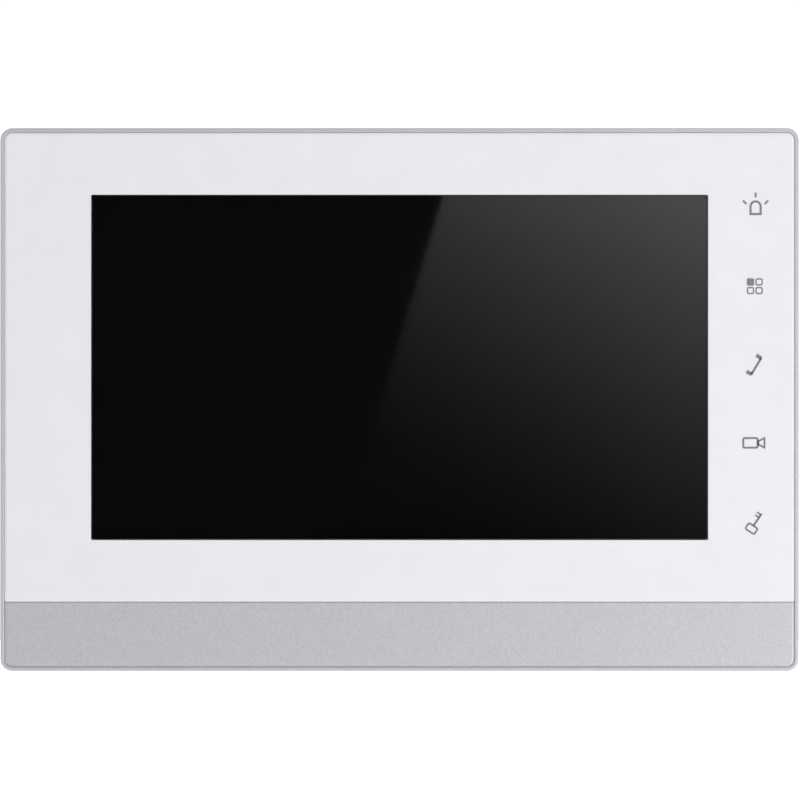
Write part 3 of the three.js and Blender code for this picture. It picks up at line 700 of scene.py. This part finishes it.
pulp = moulding("pressed paper pulp", "#232322", "#31312f", 0.9, 0.4, 0.05)
soft_rubber = moulding("moulded rubber", "#161617", "#202022", 0.8, 0.4, 0.015)
paint_node("speaker_basket", tinplate)
paint_node("speaker_cone", pulp)
paint_node("speaker_magnet", soft_ferrite)
paint_node("speaker_gasket", black_foam)
paint_node("microphone_capsule", drawn_aluminium)
for node in ("microphone_boot", "speaker_lead", "microphone_lead"):
    paint_node(node, soft_rubber)


# -------------------------------------------------------------------------- controls
# The reset button is a captive plunger in the lower wall. The power switch has a knob
# that slides in a sunk slot in the right wall, ribbed for a fingernail.

black_acetal = moulding("black acetal", "#1b1c1e", "#26272a", 0.45, 0.3, 0.01)
softened("reset_button", "reset_plunger_cap", 0.2, black_acetal, "reset_plunger", 3)
paint_node("reset_switch", black_acetal)
paint_node("power_switch_body", tinplate)

knob_low, knob_high = box_mm("power_switch_knob")
knob_centre = (knob_low + knob_high) / 2
THUMB_HALF = (1.1, 1.9)
FLANGE_RISE = 2.0
RIB_PITCH = 0.95
RIB_RISE = 0.35


def ribbed_knob():
    """The knob: a flange inside the wall, and a thumb piece whose face follows the upper
    half of a sine across Z, one wave to a rib."""
    across = np.linspace(-THUMB_HALF[1], THUMB_HALF[1], 41)
    crest = knob_high[0] - RIB_RISE + RIB_RISE * np.abs(np.sin(math.pi * across / RIB_PITCH))
    foot = knob_low[0] + FLANGE_RISE
    thumb = np.stack([
        np.concatenate([[foot], crest, [foot]]),
        np.concatenate([[across[0]], across, [across[-1]]]) + knob_centre[2],
    ], axis=1)
    low_z, high_z = knob_low[2], knob_high[2]
    flange = [(knob_low[0], low_z), (foot, low_z), (foot, high_z), (knob_low[0], high_z)]
    middle = knob_centre[1]
    shapes = [
        slab(thumb, middle - THUMB_HALF[0], middle + THUMB_HALF[0]),
        slab(flange, knob_low[1], knob_high[1]),
    ]
    return make_piece("ribbed_power_knob", *joined(shapes), 50)


dress(ribbed_knob(), black_acetal, "power_knob", ["power_switch_knob"])


# -------------------------------------------------------------- screws and wall pads
# Pan-head screws with a cross recess, cold-headed and bright zinc plated, and four
# moulded rubber pads that rest on the wall.

bright_zinc = plated_steel("bright zinc plating", "#a8abae", "#c9ccd0", 0.5, 0.28)
for kind, count, edge in (("case_screw", 4, 0.15), ("board_screw", 4, 0.12),
                          ("speaker_screw", 2, 0.12), ("touch_screw", 2, 0.1)):
    for i in range(1, count + 1):
        softened(f"{kind}_{i}", f"zinc_{kind}_{i}", edge, bright_zinc, "monitor")


def turned_pad(name, node):
    """A pad turned about a line in Y: its edge rounds over, and its face dishes by a parabola."""
    low, high = box_mm(node)
    centre = (low + high) / 2
    radius = (high[0] - low[0]) / 2
    turn = np.linspace(0, 2 * math.pi, 40, endpoint=False)
    circle = np.stack([np.cos(turn), np.sin(turn)], axis=1)
    side = [(radius, low[1]), *((radius - inset, depth) for inset, depth in (
        (0.0, high[1] - 0.25), (0.08, high[1] - 0.08), (0.25, high[1])))]
    face = [(radius * share, high[1] - 0.12 * (1 - (share / 0.85) ** 2)) for share in (0.85, 0.6, 0.35, 0.1)]
    loops = [(circle * r + centre[[0, 2]], depth) for r, depth in side + face]
    return stacked_loops(name, loops)


for i in range(1, 5):
    pad = turned_pad(f"rubber_wall_pad_{i}", f"wall_pad_{i}")
    dress(pad, soft_rubber, "monitor", [f"wall_pad_{i}"])


# ------------------------------------------------------------- floor, light, camera
# A pale floor and a white surround light the monitor softly from all sides. Large soft
# lights stand low at the front right and high at the back left, and a gradient card gives
# the window its reflection.

FRONT_Y = box_mm("front_frame")[0][1]
FLOOR_Z = -450
FLOOR_REACH = 9000
FLOOR_GLOW = 0.36
SURROUND_LIGHT, SURROUND_SEEN = 0.49, 1.05
LENS, SENSOR = 250, 36
VIEW_WIDTH = 200.4
CAMERA_X, CAMERA_Z = 0.12, -0.09
CARD_REACH = (340, 260)
distance = VIEW_WIDTH * LENS / SENSOR


def stage_plane(name, corners, material):
    """A flat stage piece from its corners in millimetres."""
    plane = make_piece(name, corners, [list(range(len(corners)))])
    plane.data.materials.append(material)
    return plane


floor_paint = new_material("pale floor paint", Roughness=0.8)
tint(floor_paint, mottle(floor_paint, 200), 0.3, 0.7, "#f4f4f5", "#f7f7f8")
floor_paint.node_tree.nodes["Principled BSDF"].inputs["Emission Color"].default_value = (1, 1, 1, 1)
seen = add_node(floor_paint, "ShaderNodeLightPath").outputs["Is Camera Ray"]
drive(floor_paint, "Emission Strength", add_node(floor_paint, "ShaderNodeMapRange", {
    "Value": seen, "To Min": FLOOR_GLOW, "To Max": 1.0,
}).outputs[0])
# The floor is clear from below, so that a low view still shows the underside.
towards_eye = add_node(floor_paint, "ShaderNodeSeparateXYZ", {
    0: add_node(floor_paint, "ShaderNodeNewGeometry").outputs["Incoming"],
}).outputs[2]
drive(floor_paint, "Alpha", add_node(floor_paint, "ShaderNodeMath", {
    0: towards_eye, 1: 0.0,
}, operation="GREATER_THAN").outputs[0])
stage_plane("floor", [(-FLOOR_REACH, -FLOOR_REACH, FLOOR_Z), (FLOOR_REACH, -FLOOR_REACH, FLOOR_Z),
                      (FLOOR_REACH, FLOOR_REACH, FLOOR_Z), (-FLOOR_REACH, FLOOR_REACH, FLOOR_Z)], floor_paint)


def glare_card():
    """A black card with a soft gradient on its right part. Its light falls off to the left
    and downwards, and stops at a slanted edge."""
    material = new_material("glare card", Roughness=1.0)
    material.node_tree.nodes["Principled BSDF"].inputs["Base Color"].default_value = (0, 0, 0, 1)
    place = add_node(material, "ShaderNodeTexCoord").outputs["Object"]
    axes = add_node(material, "ShaderNodeSeparateXYZ", {0: place})

    def maths(operation, first, second):
        return add_node(material, "ShaderNodeMath", {0: first, 1: second}, operation=operation).outputs[0]

    # The window sees the card at twice its own scale, so a millimetre on it is two here.
    across = maths("MULTIPLY", axes.outputs[0], 0.5 / MM)
    up = maths("MULTIPLY", axes.outputs[2], 0.5 / MM)
    level = maths("ADD", maths("ADD", maths("MULTIPLY", across, 0.35), maths("MULTIPLY", up, 0.607)), 18.3)
    glow = maths("POWER", maths("DIVIDE", maths("MAXIMUM", level, 0), 255.0), 2.2)
    edge = maths("ADD", maths("MULTIPLY", maths("SUBTRACT", up, 51.2), 0.299), 10.9)
    lit = maths("GREATER_THAN", across, edge)
    strength = maths("MULTIPLY", maths("MULTIPLY", glow, 13.0), lit)
    drive(material, "Emission Color", add_node(material, "ShaderNodeCombineColor", {
        0: strength, 1: strength, 2: strength,
    }).outputs[0])
    material.node_tree.nodes["Principled BSDF"].inputs["Emission Strength"].default_value = 1.0
    return material


card_y = FRONT_Y - distance
card_x, card_z = CARD_REACH
card = stage_plane("glare_card", [(-card_x, card_y, -card_z), (card_x, card_y, -card_z),
                                  (card_x, card_y, card_z), (-card_x, card_y, card_z)], glare_card())
card.visible_camera = False
card.visible_diffuse = False
card.visible_shadow = False


def soft_light(name, place, aim, size, power):
    """A large square light at a place, turned to face a point, both in millimetres."""
    light = bpy.data.lights.new(name, "AREA")
    light.shape = "RECTANGLE"
    light.size, light.size_y = size[0] * MM, size[1] * MM
    light.energy = power
    obj = bpy.data.objects.new(name, light)
    bpy.context.scene.collection.objects.link(obj)
    place, aim = np.array(place, float), np.array(aim, float)
    obj.location = (place * MM).tolist()
    obj.rotation_euler = Vector((aim - place).tolist()).to_track_quat("-Z", "Y").to_euler()
    return obj


soft_light("right_soft_light", (750, -1000, -300), (0, 0, 0), (500, 500), 7)
soft_light("back_soft_light", (-900, 1500, 700), (0, 0, 0), (1200, 1200), 10)

world = bpy.data.worlds.new("white surround")
world.use_nodes = True
bpy.context.scene.world = world
tree = world.node_tree
surround = tree.nodes["Background"]
surround.inputs["Color"].default_value = (1, 1, 1, 1)
rays = tree.nodes.new("ShaderNodeLightPath")
strength = tree.nodes.new("ShaderNodeMapRange")
tree.links.new(rays.outputs["Is Camera Ray"], strength.inputs["Value"])
strength.inputs["To Min"].default_value = SURROUND_LIGHT
strength.inputs["To Max"].default_value = SURROUND_SEEN
tree.links.new(strength.outputs[0], surround.inputs["Strength"])
bpy.context.scene.view_settings.view_transform = "Standard"

camera_data = bpy.data.cameras.new("camera")
camera_data.lens = LENS
camera_data.sensor_width = SENSOR
camera_data.clip_end = 50
camera = bpy.data.objects.new("camera", camera_data)
bpy.context.scene.collection.objects.link(camera)
camera.location = (CAMERA_X * MM, (FRONT_Y - distance) * MM, CAMERA_Z * MM)
camera.rotation_euler = (math.radians(90), 0, 0)
bpy.context.scene.camera = camera
